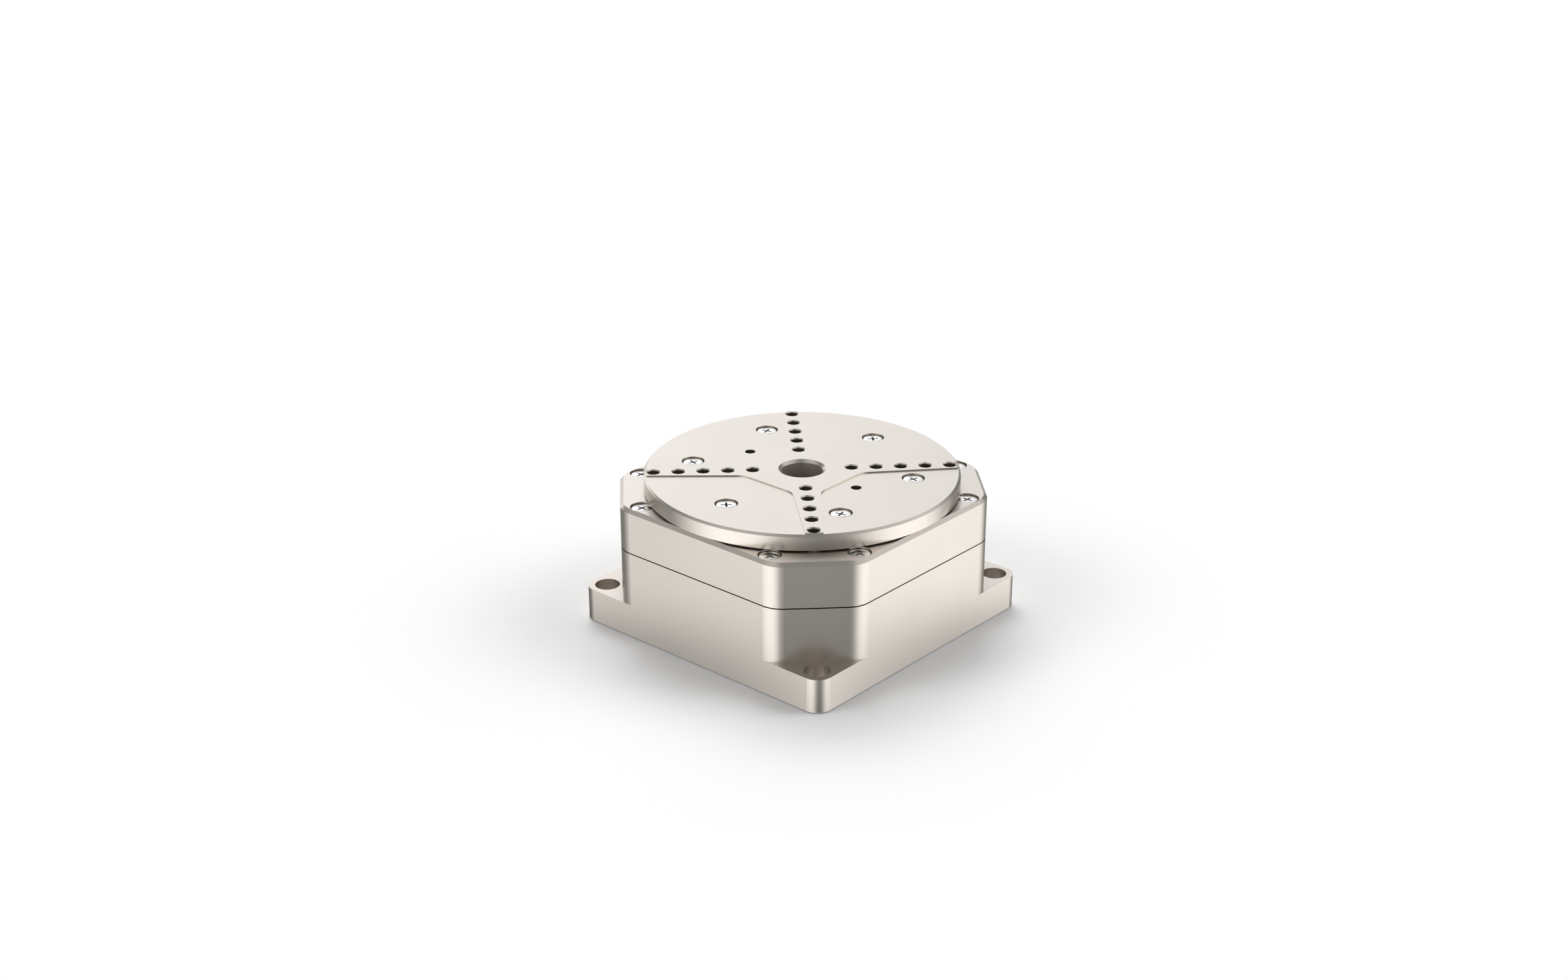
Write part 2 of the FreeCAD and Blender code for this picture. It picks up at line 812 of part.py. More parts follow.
def board_chips():
    chip = block(-chip_size / 2, chip_size / 2, -chip_size / 2, chip_size / 2, board_bottom - chip_height,
                 board_bottom)
    return on_circle(chip, (board_r + board_hole_r) / 2, chip_count, chip_first_deg)


def board_screws():
    screw = turned_over(small_screw(board_thickness))
    return at_board_screws(moved(screw, z=board_bottom))


def bottom_cover():
    cover = tube(cover_recess_r - cover_play, base_hole_r, cover_inset, cover_top)
    hole = moved(turned_over(countersunk_hole(cover_thickness)), z=cover_inset)
    return cover.cut(at_cover_screws(hole))


def cover_screws():
    screw = turned_over(small_countersunk_screw(cover_thickness))
    return at_cover_screws(moved(screw, z=cover_inset))


# Connector in the back wall, +Y side

def socket_outline(grow):
    half_w, half_h = socket_width / 2 + grow, socket_height / 2 + grow
    return [(-half_w, half_h), (-half_w + socket_slant, -half_h), (half_w - socket_slant, -half_h),
            (half_w, half_h)]


def socket_prism(grow, y_low, y_high):
    points = [V(x, y_low, connector_height_z + z) for x, z in socket_outline(grow)]
    face = Part.Face(Part.makePolygon(points + points[:1]))
    return face.extrude(V(0, y_high - y_low, 0))


def at_jack_screws(shape, face_y):
    """Two copies of an upright shape, laid down so that it starts at this face."""
    laid = turned_outwards(shape)
    return [moved(laid, x, face_y, connector_height_z) for x in (-jack_screw_x, jack_screw_x)]


def jack_holes():
    tapped = small_tapped(-small_thread - blind_room, 0)
    return at_jack_screws(tapped, connector_face - connector_flange_thickness)


def connector_shell():
    flange_low = connector_face - connector_flange_thickness
    body_low = connector_back
    flange = block(-connector_flange_width / 2, connector_flange_width / 2, flange_low, connector_face,
                   connector_height_z - connector_flange_height / 2,
                   connector_height_z + connector_flange_height / 2)
    body = block(-connector_body_width / 2, connector_body_width / 2, body_low, flange_low,
                 connector_height_z - connector_body_height / 2,
                 connector_height_z + connector_body_height / 2)
    cuts = [socket_prism(0, body_low, connector_face)]
    cuts += at_jack_screws(countersunk_hole(connector_flange_thickness), connector_face)
    return flange.fuse(body).cut(cuts)


def pin_places():
    places = []
    for count, z in ((upper_pin_count, pin_row_z), (lower_pin_count, -pin_row_z)):
        places += [((index - (count - 1) / 2) * pin_pitch, z) for index in range(count)]
    return places


def insert_face():
    return connector_face - socket_depth


def connector_insert():
    return socket_prism(0, connector_back, insert_face())


def connector_pins():
    half = pin_width / 2
    pin = block(-half, half, insert_face(), insert_face() + pin_length, connector_height_z - half,
                connector_height_z + half)
    return [moved(pin, x=x, z=z) for x, z in pin_places()]


def jack_screws():
    return at_jack_screws(small_countersunk_screw(connector_flange_thickness), connector_face)


def ribbon_cable():
    """Flat cable from the back of the connector, bent down through the web to the board."""
    half = ribbon_thickness / 2
    half_width = ribbon_width / 2
    bend_y = connector_back - ribbon_run
    bend_z = connector_height_z - ribbon_bend_r
    centre = V(-half_width, bend_y, bend_z)
    bend = Part.makeCylinder(ribbon_bend_r + half, ribbon_width, centre, V(1, 0, 0))
    bend = bend.cut(Part.makeCylinder(ribbon_bend_r - half, ribbon_width, centre, V(1, 0, 0)))
    bend = bend.common(block(-ribbon_width, ribbon_width, ribbon_y() - ribbon_bend_r, bend_y, bend_z,
                             connector_height_z + ribbon_bend_r))
    run = block(-half_width, half_width, bend_y, connector_back, connector_height_z - half,
                connector_height_z + half)
    drop = block(-half_width, half_width, ribbon_y() - half, ribbon_y() + half, board_top, bend_z)
    return bend.fuse([run, drop]).removeSplitter()


def build():
    os.makedirs("parts", exist_ok=True)
    save("lower_housing", lower_housing())
    save("upper_housing", upper_housing())
    save("housing_screws", housing_screws())
    save("platform", platform())
    save("platform_screws", platform_screws())
    save("rotor_hub", rotor_hub())
    save("drive_ring", drive_ring())
    save("bearing_nut", bearing_nut())
    save("encoder_scale", encoder_scale())
    save("bearing_inner_ring", bearing_inner_ring())
    save("bearing_outer_ring_upper", bearing_outer_half(1))
    save("bearing_outer_ring_lower", bearing_outer_half(-1))
    save("bearing_rollers", bearing_rollers())
    save("bearing_cage", bearing_cage())
    save("spacer_ring", spacer_ring())
    motor_pieces = {"motor_frame": motor_frame, "piezo_plate": piezo_plate, "drive_tip": drive_tip,
                    "preload_spring": preload_spring, "preload_screw": preload_screw}
    for index in range(motor_count):
        angle = 360.0 * index / motor_count
        for name, make in motor_pieces.items():
            save("%s_%d" % (name, index + 1), spun(make(), angle))
        save("nodal_pads_%d" % (index + 1), [spun(pad, angle) for pad in nodal_pads()])
        lead = motor_lead(board_top, plate_bottom + plate_thickness)
        save("motor_lead_%d" % (index + 1), spun(lead, angle))
    save("motor_screws", motor_screws())
    save("read_head_block", read_head_block())
    save("read_head", read_head())
    save("read_head_window", read_head_window())
    save("read_head_screws", read_head_screws())
    save("read_head_lead", read_head_lead(board_top, head_bottom + head_height / 2))
    save("circuit_board", circuit_board())
    save("board_chips", board_chips())
    save("board_screws", board_screws())
    save("bottom_cover", bottom_cover())
    save("cover_screws", cover_screws())
    save("connector_shell", connector_shell())
    save("connector_insert", connector_insert())
    save("connector_pins", connector_pins())
    save("jack_screws", jack_screws())
    save("ribbon_cable", ribbon_cable())


build()
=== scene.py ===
import json
import math

import bmesh
import bpy
from mathutils import Matrix, Vector


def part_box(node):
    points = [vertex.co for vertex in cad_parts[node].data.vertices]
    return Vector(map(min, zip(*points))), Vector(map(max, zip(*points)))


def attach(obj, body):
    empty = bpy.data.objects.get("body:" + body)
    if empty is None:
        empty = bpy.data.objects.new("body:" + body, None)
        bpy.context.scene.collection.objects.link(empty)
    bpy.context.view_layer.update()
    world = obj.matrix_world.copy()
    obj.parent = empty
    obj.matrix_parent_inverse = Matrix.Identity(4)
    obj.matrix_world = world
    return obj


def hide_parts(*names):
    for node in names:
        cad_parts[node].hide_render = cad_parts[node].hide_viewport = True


# Piezo rotation stage: finishes, fine detail of the fasteners, studio floor, light and camera.
# Metres, Z up, origin on the axis in the plane that the stage stands on.

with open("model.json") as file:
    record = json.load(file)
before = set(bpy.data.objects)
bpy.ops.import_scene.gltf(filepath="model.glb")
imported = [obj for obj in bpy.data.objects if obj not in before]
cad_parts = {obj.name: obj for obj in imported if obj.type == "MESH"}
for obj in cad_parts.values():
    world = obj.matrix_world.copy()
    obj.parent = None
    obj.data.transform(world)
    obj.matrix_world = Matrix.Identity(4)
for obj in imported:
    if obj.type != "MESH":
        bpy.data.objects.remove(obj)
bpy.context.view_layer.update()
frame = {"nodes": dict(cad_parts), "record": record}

MM = 0.001
QUARTER_TURN = math.pi / 2
SIXTH_TURN = math.pi / 3
EIGHTH_TURN = math.pi / 4


# Camera

CAMERA_PLACE = Vector((0.330259, -0.383796, 0.254587))
CAMERA_AZIMUTH = math.radians(41.2318)
CAMERA_ELEVATION = math.radians(23.543)
CAMERA_LENS_MM = 50.0
CAMERA_SENSOR_MM = 36.0
CAMERA_NEAREST = 0.01


def make_camera():
    towards_camera = Vector((math.sin(CAMERA_AZIMUTH) * math.cos(CAMERA_ELEVATION),
                             -math.cos(CAMERA_AZIMUTH) * math.cos(CAMERA_ELEVATION),
                             math.sin(CAMERA_ELEVATION)))
    data = bpy.data.cameras.new("camera")
    data.lens = CAMERA_LENS_MM
    data.sensor_width = CAMERA_SENSOR_MM
    data.clip_start = CAMERA_NEAREST
    camera = bpy.data.objects.new("camera", data)
    camera.location = CAMERA_PLACE
    camera.rotation_euler = (-towards_camera).to_track_quat("-Z", "Y").to_euler()
    bpy.context.scene.collection.objects.link(camera)
    bpy.context.scene.camera = camera


# Sizes of the holes, gaps and screws, as they are in the solids

FIRST_HOLE = 12.5 * MM
HOLE_PITCH = 6.25 * MM
HOLE_R = 1.5 * MM
HOLE_MOUTH = 0.275 * MM
THREAD_PITCH = 0.5 * MM
DOWEL_R = 1.35 * MM
DOWEL_X = FIRST_HOLE * math.sqrt(2)
POCKET_DEPTH = 0.3 * MM
APERTURE_R = 5.3 * MM
APERTURE_MOUTH = 0.73 * MM
SEAM_GROOVE = 0.3 * MM


class Screw:
    """Sizes of a screw with a cylindrical head, and of its counterbore, given in millimetres."""

    def __init__(self, head_d, head_height, shank_d, thread_length, bore_d):
        self.head_r = head_d / 2 * MM
        self.head_height = head_height * MM
        self.shank_r = shank_d / 2 * MM
        self.thread_length = thread_length * MM
        self.bore_r = bore_d / 2 * MM


HOUSING_SCREW = Screw(head_d=5.2, head_height=2.0, shank_d=3.0, thread_length=6.5, bore_d=5.9)
PLATFORM_SCREW = Screw(head_d=5.0, head_height=1.6, shank_d=2.5, thread_length=4.5, bore_d=5.84)


# A node's vertices belong to one screw while each is within this angle of the one before
SAME_SCREW = math.radians(4.0)


def axes_of(node):
    """Upright axes of a node's screws, as distances from the axis of rotation and angles."""
    places = [vertex.co for vertex in frame["nodes"][node].data.vertices]
    spots = sorted((math.atan2(place.y, place.x), math.hypot(place.x, place.y)) for place in places)
    groups = [[spots[0]]]
    for spot in spots[1:]:
        if spot[0] - groups[-1][-1][0] > SAME_SCREW:
            groups.append([])
        groups[-1].append(spot)
    axes = []
    for group in groups:
        radii = [radius for _, radius in group]
        axes.append(((min(radii) + max(radii)) / 2, (group[0][0] + group[-1][0]) / 2))
    return axes


HOUSING_AXES = axes_of("housing_screws")
PLATFORM_AXES = axes_of("platform_screws")


# Node trees

def rgba(colour):
    """A colour with the fourth channel that a colour socket wants; what a node gives stays as it is."""
    return colour if isinstance(colour, bpy.types.NodeSocket) else (*colour, 1.0)


def scaled(colour, factor):
    return tuple(min(1.0, channel * factor) for channel in colour)


class Nodes:
    """A node tree with short ways to add and join nodes."""

    def __init__(self, tree):
        self.tree = tree
        tree.nodes.clear()

    def add(self, kind, inputs=(), **settings):
        node = self.tree.nodes.new(kind)
        for name, value in settings.items():
            setattr(node, name, value)
        for name, value in dict(inputs).items():
            self.put(node, name, value)
        return node

    def put(self, node, name, value):
        if isinstance(value, bpy.types.NodeSocket):
            self.tree.links.new(value, node.inputs[name])
        else:
            node.inputs[name].default_value = value

    def math(self, operation, a, b=0.0):
        return self.add("ShaderNodeMath", {0: a, 1: b}, operation=operation).outputs[0]

    def larger(self, a, b):
        return self.math("MAXIMUM", a, b)

    def plus(self, a, b):
        return self.math("ADD", a, b)

    def minus(self, a, b):
        return self.math("SUBTRACT", a, b)

    def times(self, a, b):
        return self.math("MULTIPLY", a, b)

    def hypotenuse(self, a, b):
        return self.math("SQRT", self.plus(self.times(a, a), self.times(b, b)))

    def vector(self, operation, *vectors, output="Vector"):
        inputs = enumerate(vectors)
        return self.add("ShaderNodeVectorMath", inputs, operation=operation).outputs[output]

    def dot(self, a, b):
        return self.vector("DOT_PRODUCT", a, b, output="Value")

    def tinted(self, strength, colour):
        inputs = {0: colour, "Scale": strength}
        return self.add("ShaderNodeVectorMath", inputs, operation="SCALE").outputs[0]

    def smooth(self, value, low, high, to_low=0.0, to_high=1.0):
        """Value eased from to_low at low to to_high at high."""
        inputs = {"Value": value, "From Min": low, "From Max": high, "To Min": to_low, "To Max": to_high}
        return self.add("ShaderNodeMapRange", inputs, interpolation_type="SMOOTHSTEP").outputs["Result"]

    def band(self, value, start, full, fading, end):
        """0 before start, 1 from full to fading, 0 after end."""
        return self.times(self.smooth(value, start, full), self.smooth(value, end, fading))

    def mix(self, factor, a, b):
        """Colour a where factor is 0, b where it is 1. Sockets 6 and 7 are the node's colours."""
        inputs = {0: factor, 6: rgba(a), 7: rgba(b)}
        return self.add("ShaderNodeMix", inputs, data_type="RGBA").outputs[2]

    def blend(self, factor, a, b):
        """Number a where factor is 0, b where it is 1. Sockets 2 and 3 are the node's numbers."""
        return self.add("ShaderNodeMix", {0: factor, 2: a, 3: b}).outputs[0]

    def mix_shaders(self, factor, a, b):
        """Shader a where factor is 0, b where it is 1."""
        return self.add("ShaderNodeMixShader", {0: factor, 1: a, 2: b}).outputs[0]

    def shades(self, factor, colour, low, high):
        """The colour times low where factor is 0, times high where it is 1."""
        return self.mix(factor, scaled(colour, low), scaled(colour, high))

    def around(self, middle, value, spread):
        """Middle, less half the spread where value is 0, plus half the spread where it is 1."""
        return self.plus(self.times(value, spread), middle - spread / 2)

    def place(self):
        """The point's place on the part, in metres, which moves with the part."""
        return self.add("ShaderNodeTexCoord").outputs["Object"]

    def parts(self, vector):
        return self.add("ShaderNodeSeparateXYZ", {0: vector}).outputs

    def texture(self, kind, output, inputs, **settings):
        """A texture over the part, with scales in cycles per metre."""
        return self.add(kind, {"Vector": self.place(), **inputs}, **settings).outputs[output]

    def noise(self, scale, detail):
        return self.texture("ShaderNodeTexNoise", "Fac", {"Scale": scale, "Detail": detail})

    def bump(self, height, strength, relief):
        inputs = {"Strength": strength, "Distance": relief, "Height": height}
        return self.add("ShaderNodeBump", inputs).outputs["Normal"]

    def end(self, kind, surface):
        self.add(kind, {"Surface": surface})


# Where holes and gaps lie, as masks for painted shade and for matt in a finish

# A hair's width tells a hole's wall from the face beside it. A dark is the share of painted shade mixed
# in, where shade falls in the seam's groove and in the holes.
HAIR = 0.01 * MM
BORE_FADE = 0.35 * MM
SEAM_PAINTED_SHADE = 0.97
BORE_PAINTED_SHADE = 0.18
DOWEL_PAINTED_SHADE = 0.45
THREAD_PAINTED_SHADE = (0.22, 0.50)


class Holes:
    """The point's polar place on the part, and masks of the holes that it lies in."""

    def __init__(self, nodes):
        self.nodes = nodes
        self.x, self.y, self.height = nodes.parts(nodes.place())
        self.radius = nodes.hypotenuse(self.x, self.y)
        self.angle = nodes.math("ARCTAN2", self.y, self.x)

    def turned_from(self, first, step):
        """Angle to the nearest of the directions first, first + step, first + 2 step and so on."""
        return self.nodes.math("PINGPONG", self.nodes.minus(self.angle, first), step / 2)

    def along_and_across(self, turn):
        """The point's place along and beside a direction that is turned away by this angle."""
        nodes = self.nodes
        return (nodes.times(self.radius, nodes.math("COSINE", turn)),
                nodes.times(self.radius, nodes.math("SINE", turn)))

    def from_axis(self, axis_radius, turn):
        """Distance from an upright axis that lies at axis_radius, turned away by this angle."""
        along, across = self.along_and_across(turn)
        return self.nodes.hypotenuse(self.nodes.minus(along, axis_radius), across)

    def above(self, level):
        return self.nodes.math("GREATER_THAN", self.height, level)

    def below(self, level):
        return self.nodes.math("LESS_THAN", self.height, level)

    def inside(self, distance, reach, top, fade=HAIR):
        """1 within this reach of an axis and below top, eased in over the depth fade."""
        within = self.nodes.math("LESS_THAN", distance, reach + HAIR)
        return self.nodes.times(within, self.nodes.smooth(self.height, top, top - fade))


def housing_masks(nodes):
    """How much painted shade and how matt: painted shade in the seam's groove and in the counterbores of
    the housing screws, which are also matt.
    """
    holes = Holes(nodes)
    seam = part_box("lower_housing")[1][2]
    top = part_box("upper_housing")[1][2]
    # Painted shade in the seam's groove, where shade falls between the two housings
    groove = nodes.times(holes.above(seam - HAIR), holes.below(seam + SEAM_GROOVE - HAIR))
    circle, angle = HOUSING_AXES[0]
    from_diagonal = abs(angle % QUARTER_TURN - EIGHTH_TURN)
    turn = nodes.minus(holes.turned_from(EIGHTH_TURN, QUARTER_TURN), from_diagonal)
    bore = holes.inside(holes.from_axis(circle, turn), HOUSING_SCREW.bore_r, top - 2 * HAIR, BORE_FADE)
    bore = nodes.times(bore, holes.above(seam))
    return nodes.larger(nodes.times(groove, SEAM_PAINTED_SHADE), nodes.times(bore, BORE_PAINTED_SHADE)), bore


def tapped_mask(holes, top):
    """1 in the tapped holes, which lie in rows on the two diagonals."""
    nodes = holes.nodes
    along, across = holes.along_and_across(holes.turned_from(EIGHTH_TURN, QUARTER_TURN))
    from_hole = nodes.math("PINGPONG", nodes.minus(along, FIRST_HOLE), HOLE_PITCH / 2)
    in_row = nodes.math("GREATER_THAN", along, FIRST_HOLE - HOLE_PITCH / 2)
    tapped = holes.inside(nodes.hypotenuse(from_hole, across), HOLE_R, top - HOLE_MOUTH + HAIR)
    return nodes.times(in_row, tapped)


def platform_masks(nodes):
    """How much painted shade and how matt: painted shade in the tapped holes, stronger and weaker along
    the threads, in the dowel holes and in the counterbores; matt counterbores and the wall of the
    aperture.
    """
    holes = Holes(nodes)
    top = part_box("platform")[1][2]
    pocket = top - POCKET_DEPTH - 2 * HAIR
    # Painted shade in the tapped holes, dowel holes and counterbores, where little light reaches
    ridges = nodes.math("SINE", nodes.times(holes.height, 2 * math.pi / THREAD_PITCH))
    tapped = nodes.times(tapped_mask(holes, top), nodes.smooth(ridges, -1.0, 1.0, *THREAD_PAINTED_SHADE))
    from_dowel = nodes.hypotenuse(nodes.minus(nodes.math("ABSOLUTE", holes.x), DOWEL_X), holes.y)
    dowel = nodes.times(holes.inside(from_dowel, DOWEL_R, pocket), DOWEL_PAINTED_SHADE)
    circle, angle = PLATFORM_AXES[0]
    from_screw = holes.from_axis(circle, holes.turned_from(angle, SIXTH_TURN))
    bore = holes.inside(from_screw, PLATFORM_SCREW.bore_r, pocket, BORE_FADE)
    aperture = holes.inside(holes.radius, APERTURE_R, top - APERTURE_MOUTH + HAIR)
    dark = nodes.larger(nodes.larger(tapped, dowel), nodes.times(bore, BORE_PAINTED_SHADE))
    return dark, nodes.larger(aperture, bore)


# Finishes

# Noise scales are in cycles per metre and reliefs in metres. Tones are what a texture goes between:
# two colours, or two factors on one colour. Edges are where a pattern's own value is cut, softly.
# Colour of the painted shade that stands for the shade in grooves and holes
PAINTED_SHADE_COLOUR = (0.020, 0.018, 0.016)
MATT_ROUGHNESS = 0.41
GRAIN = 9000.0
CLOUDS = 55.0
CLOUD_EDGES = (0.3, 0.7)
BLASTED_TONES = (0.985, 1.01)
BLASTED_GLOSS_SPREAD = 0.06
TURNED_TONES = (0.94, 1.03)
TURNED_GLOSS_SPREAD = 0.08
TURNED_WOBBLE = {"Distortion": 0.6, "Detail": 2.0}
SPECKLED_GLOSS_SPREAD = 0.12
SPECKLES_PER_GLOSS_CLOUD = 9


def new_material(name):
    material = bpy.data.materials.new(name)
    material.use_nodes = True
    return material, Nodes(material.node_tree)


def finish(nodes, colour, roughness, metallic=0.0, **sockets):
    """The surface shader; a socket's name is given with an underscore for each space."""
    inputs = {"Base Color": colour, "Roughness": roughness, "Metallic": metallic}
    inputs.update({name.replace("_", " "): value for name, value in sockets.items()})
    shader = nodes.add("ShaderNodeBsdfPrincipled", inputs)
    nodes.end("ShaderNodeOutputMaterial", shader.outputs[0])


def blasted_metal(name, colour, roughness, grain=GRAIN, relief=0.6e-6, masks=None):
    """Bead-blasted metal: even, with a very fine grain and faint clouds in tone and gloss. Masks, where
    given, mix in painted shade and make holes matt.
    """
    material, nodes = new_material(name)
    clouds = nodes.smooth(nodes.noise(CLOUDS, detail=3.0), *CLOUD_EDGES)
    tone = nodes.shades(clouds, colour, *BLASTED_TONES)
    fine = nodes.noise(grain, detail=1.0)
    gloss = nodes.around(roughness, fine, BLASTED_GLOSS_SPREAD)
    if masks:
        dark, matt = masks(nodes)
        # Painted shade: the masks darken the groove and the holes towards this colour
        tone = nodes.mix(dark, tone, PAINTED_SHADE_COLOUR)
        gloss = nodes.blend(matt, gloss, MATT_ROUGHNESS)
    finish(nodes, tone, gloss, metallic=1.0, Normal=nodes.bump(fine, 0.5, relief))
    return material


def turned_metal(name, colour, roughness, ring_scale=2500.0, relief=0.8e-6):
    """Turned or ground metal: fine rings about the axis of rotation."""
    material, nodes = new_material(name)
    rings = nodes.texture("ShaderNodeTexWave", "Fac", {"Scale": ring_scale, **TURNED_WOBBLE},
                          wave_type="RINGS", rings_direction="Z")
    tone = nodes.shades(nodes.noise(CLOUDS, detail=3.0), colour, *TURNED_TONES)
    gloss = nodes.around(roughness, rings, TURNED_GLOSS_SPREAD)
    finish(nodes, tone, gloss, metallic=1.0, Normal=nodes.bump(rings, 0.4, relief))
    return material


def speckled(name, colour, roughness, grain, contrast=0.08, relief=2e-6):
    """Moulded plastic, rubber or ceramic with a fine speckle in tone and relief."""
    material, nodes = new_material(name)
    fine = nodes.noise(grain, detail=3.0)
    tone = nodes.shades(fine, colour, 1.0 - contrast, 1.0 + contrast)
    broad = nodes.noise(grain / SPECKLES_PER_GLOSS_CLOUD, detail=2.0)
    gloss = nodes.around(roughness, broad, SPECKLED_GLOSS_SPREAD)
    finish(nodes, tone, gloss, Normal=nodes.bump(fine, 0.5, relief))
    return material


BOARD_TONES = ((0.010, 0.085, 0.040), (0.022, 0.150, 0.068))
BOARD_TRACKS = {"Scale": 420.0, "Mortar Size": 0.03, "Brick Width": 1.6, "Row Height": 0.5}
TIN = (0.72, 0.70, 0.66)
PADS = 520.0
PAD_EDGES = (0.16, 0.14)


def board_finish(name):
    """Green solder resist over copper tracks, with tinned pads."""
    material, nodes = new_material(name)
    tracks = nodes.texture("ShaderNodeTexBrick", "Fac", BOARD_TRACKS)
    dots = nodes.texture("ShaderNodeTexVoronoi", "Distance", {"Scale": PADS})
    pads = nodes.smooth(dots, *PAD_EDGES)
    tone = nodes.mix(pads, nodes.mix(tracks, *BOARD_TONES), TIN)
    finish(nodes, tone, roughness=0.32, metallic=nodes.times(pads, 0.9),
           Normal=nodes.bump(tracks, 0.6, relief=20e-6))
    return material


SCALE_LINES = 720.0
LINE_EDGES = (-0.1, 0.1)
GLASS_TONES = ((0.30, 0.36, 0.37), (0.36, 0.42, 0.43))
CHROME = (0.80, 0.81, 0.82)


def scale_finish(name):
    """Glass scale with chrome lines that point at the axis."""
    material, nodes = new_material(name)
    x, y = nodes.parts(nodes.place())[:2]
    stripes = nodes.math("SINE", nodes.times(nodes.math("ARCTAN2", y, x), SCALE_LINES))
    lines = nodes.smooth(stripes, *LINE_EDGES)
    glass = nodes.mix(nodes.noise(CLOUDS, detail=2.0), *GLASS_TONES)
    tone = nodes.mix(lines, glass, CHROME)
    finish(nodes, tone, roughness=0.08, metallic=nodes.times(lines, 0.95),
           Normal=nodes.bump(lines, 0.3, relief=1e-6))
    return material


PIEZO_GRAIN = 4000.0
SILVER_TONES = ((0.66, 0.65, 0.62), (0.78, 0.77, 0.74))
PIEZO_TONES = ((0.10, 0.085, 0.065), (0.15, 0.13, 0.10))
ELECTRODES = {"Scale": 120.0, "Mortar Size": 0.04, "Brick Width": 1.0, "Row Height": 1.4}


def piezo_finish(name):
    """Dark piezo ceramic with silvered electrodes in a grid."""
    material, nodes = new_material(name)
    bare = nodes.texture("ShaderNodeTexBrick", "Fac", ELECTRODES, offset=0.0)
    grain = nodes.noise(PIEZO_GRAIN, detail=2.0)
    silver = nodes.mix(grain, *SILVER_TONES)
    ceramic = nodes.mix(grain, *PIEZO_TONES)
    finish(nodes, nodes.mix(bare, silver, ceramic), roughness=0.34, metallic=nodes.minus(1.0, bare),
           Normal=nodes.bump(grain, 0.4, relief=2e-6))
    return material


FILM_TONES = ((0.46, 0.20, 0.035), (0.66, 0.36, 0.09))
FILM_TRACKS = {"Scale": 320.0, "Distortion": 0.0}
TRACK_EDGES = (0.45, 0.55)


def film_finish(name):
    """Amber polyimide film over copper tracks that run along the lead."""
    material, nodes = new_material(name)
    wave = nodes.texture("ShaderNodeTexWave", "Fac", FILM_TRACKS, wave_type="BANDS", bands_direction="X")
    tracks = nodes.smooth(wave, *TRACK_EDGES)
    finish(nodes, nodes.mix(tracks, *FILM_TONES), roughness=0.26,
           Normal=nodes.bump(tracks, 0.5, relief=15e-6), Coat_Weight=0.4, Coat_Roughness=0.12)
    return material


SMEARS = 900.0
WINDOW_TONES = ((0.030, 0.034, 0.045), (0.045, 0.052, 0.066))


def window_finish(name):
    """Dark coated glass with faint smears."""
    material, nodes = new_material(name)
    smear = nodes.noise(SMEARS, detail=4.0)
    finish(nodes, nodes.mix(smear, *WINDOW_TONES), roughness=nodes.times(smear, 0.10),
           Coat_Weight=1.0, Coat_Roughness=0.03)
    return material


WARM_ALUMINIUM = (0.750, 0.691, 0.633)
INNER_ALUMINIUM = (0.70, 0.69, 0.67)
BRIGHT_STEEL = (1.000, 0.985, 0.955)
# Darker grey in the screws' cross recesses: painted shade
RECESS_PAINTED_SHADE_GREY = (0.360, 0.345, 0.325)
BEARING_STEEL = (0.60, 0.60, 0.60)
SPRING_STEEL = (0.46, 0.47, 0.50)
NICKEL = (0.68, 0.66, 0.60)
GOLD = (0.86, 0.62, 0.24)
CAGE_YELLOW = (0.70, 0.64, 0.46)
CERAMIC_WHITE = (0.84, 0.83, 0.80)
RUBBER_BLACK = (0.030, 0.030, 0.031)
HEAD_BLACK = (0.022, 0.022, 0.024)
CHIP_BLACK = (0.020, 0.020, 0.022)
INSERT_BLACK = (0.018, 0.018, 0.019)


def make_finishes():
    """A finish for each material slot of the record, and the darker grey in the screws' recesses, which is
    painted shade.

    Each has its name, colour and roughness. A first number after them is the scale of the grain or
    the rings, and a second one the contrast."""
    return {
        "housing": blasted_metal("housing_finish", WARM_ALUMINIUM, 0.31, masks=housing_masks),
        "platform": blasted_metal("platform_finish", WARM_ALUMINIUM, 0.29, masks=platform_masks),
        "inner_aluminium": turned_metal("inner_aluminium_finish", INNER_ALUMINIUM, 0.30),
        "screw_steel": blasted_metal("screw_finish", BRIGHT_STEEL, 0.21, grain=16000.0, relief=0.3e-6),
        # Painted shade in the screws' cross recesses
        "recess": blasted_metal("recess_painted_shade_finish", RECESS_PAINTED_SHADE_GREY, 0.40),
        "bearing_steel": turned_metal("bearing_finish", BEARING_STEEL, 0.18, 5000.0, relief=0.4e-6),
        "spring_steel": blasted_metal("spring_finish", SPRING_STEEL, 0.26),
        "connector_metal": blasted_metal("connector_finish", NICKEL, 0.24),
        "pin_gold": blasted_metal("pin_finish", GOLD, 0.20),
        "cage_plastic": speckled("cage_finish", CAGE_YELLOW, 0.46, 6000.0),
        "white_ceramic": speckled("ceramic_finish", CERAMIC_WHITE, 0.22, 9000.0, 0.03, relief=0.5e-6),
        "pad_rubber": speckled("rubber_finish", RUBBER_BLACK, 0.72, 5000.0, 0.3, relief=8e-6),
        "head_black": speckled("read_head_finish", HEAD_BLACK, 0.42, 6000.0, 0.25, relief=4e-6),
        "chip_black": speckled("chip_finish", CHIP_BLACK, 0.55, 7000.0, 0.3, relief=5e-6),
        "connector_black": speckled("insert_finish", INSERT_BLACK, 0.48, 5000.0, 0.25, relief=5e-6),
        "piezo_ceramic": piezo_finish("piezo_finish"),
        "scale_glass": scale_finish("scale_finish"),
        "window_glass": window_finish("window_finish"),
        "board_green": board_finish("board_finish"),
        "ribbon_film": film_finish("film_finish"),
    }


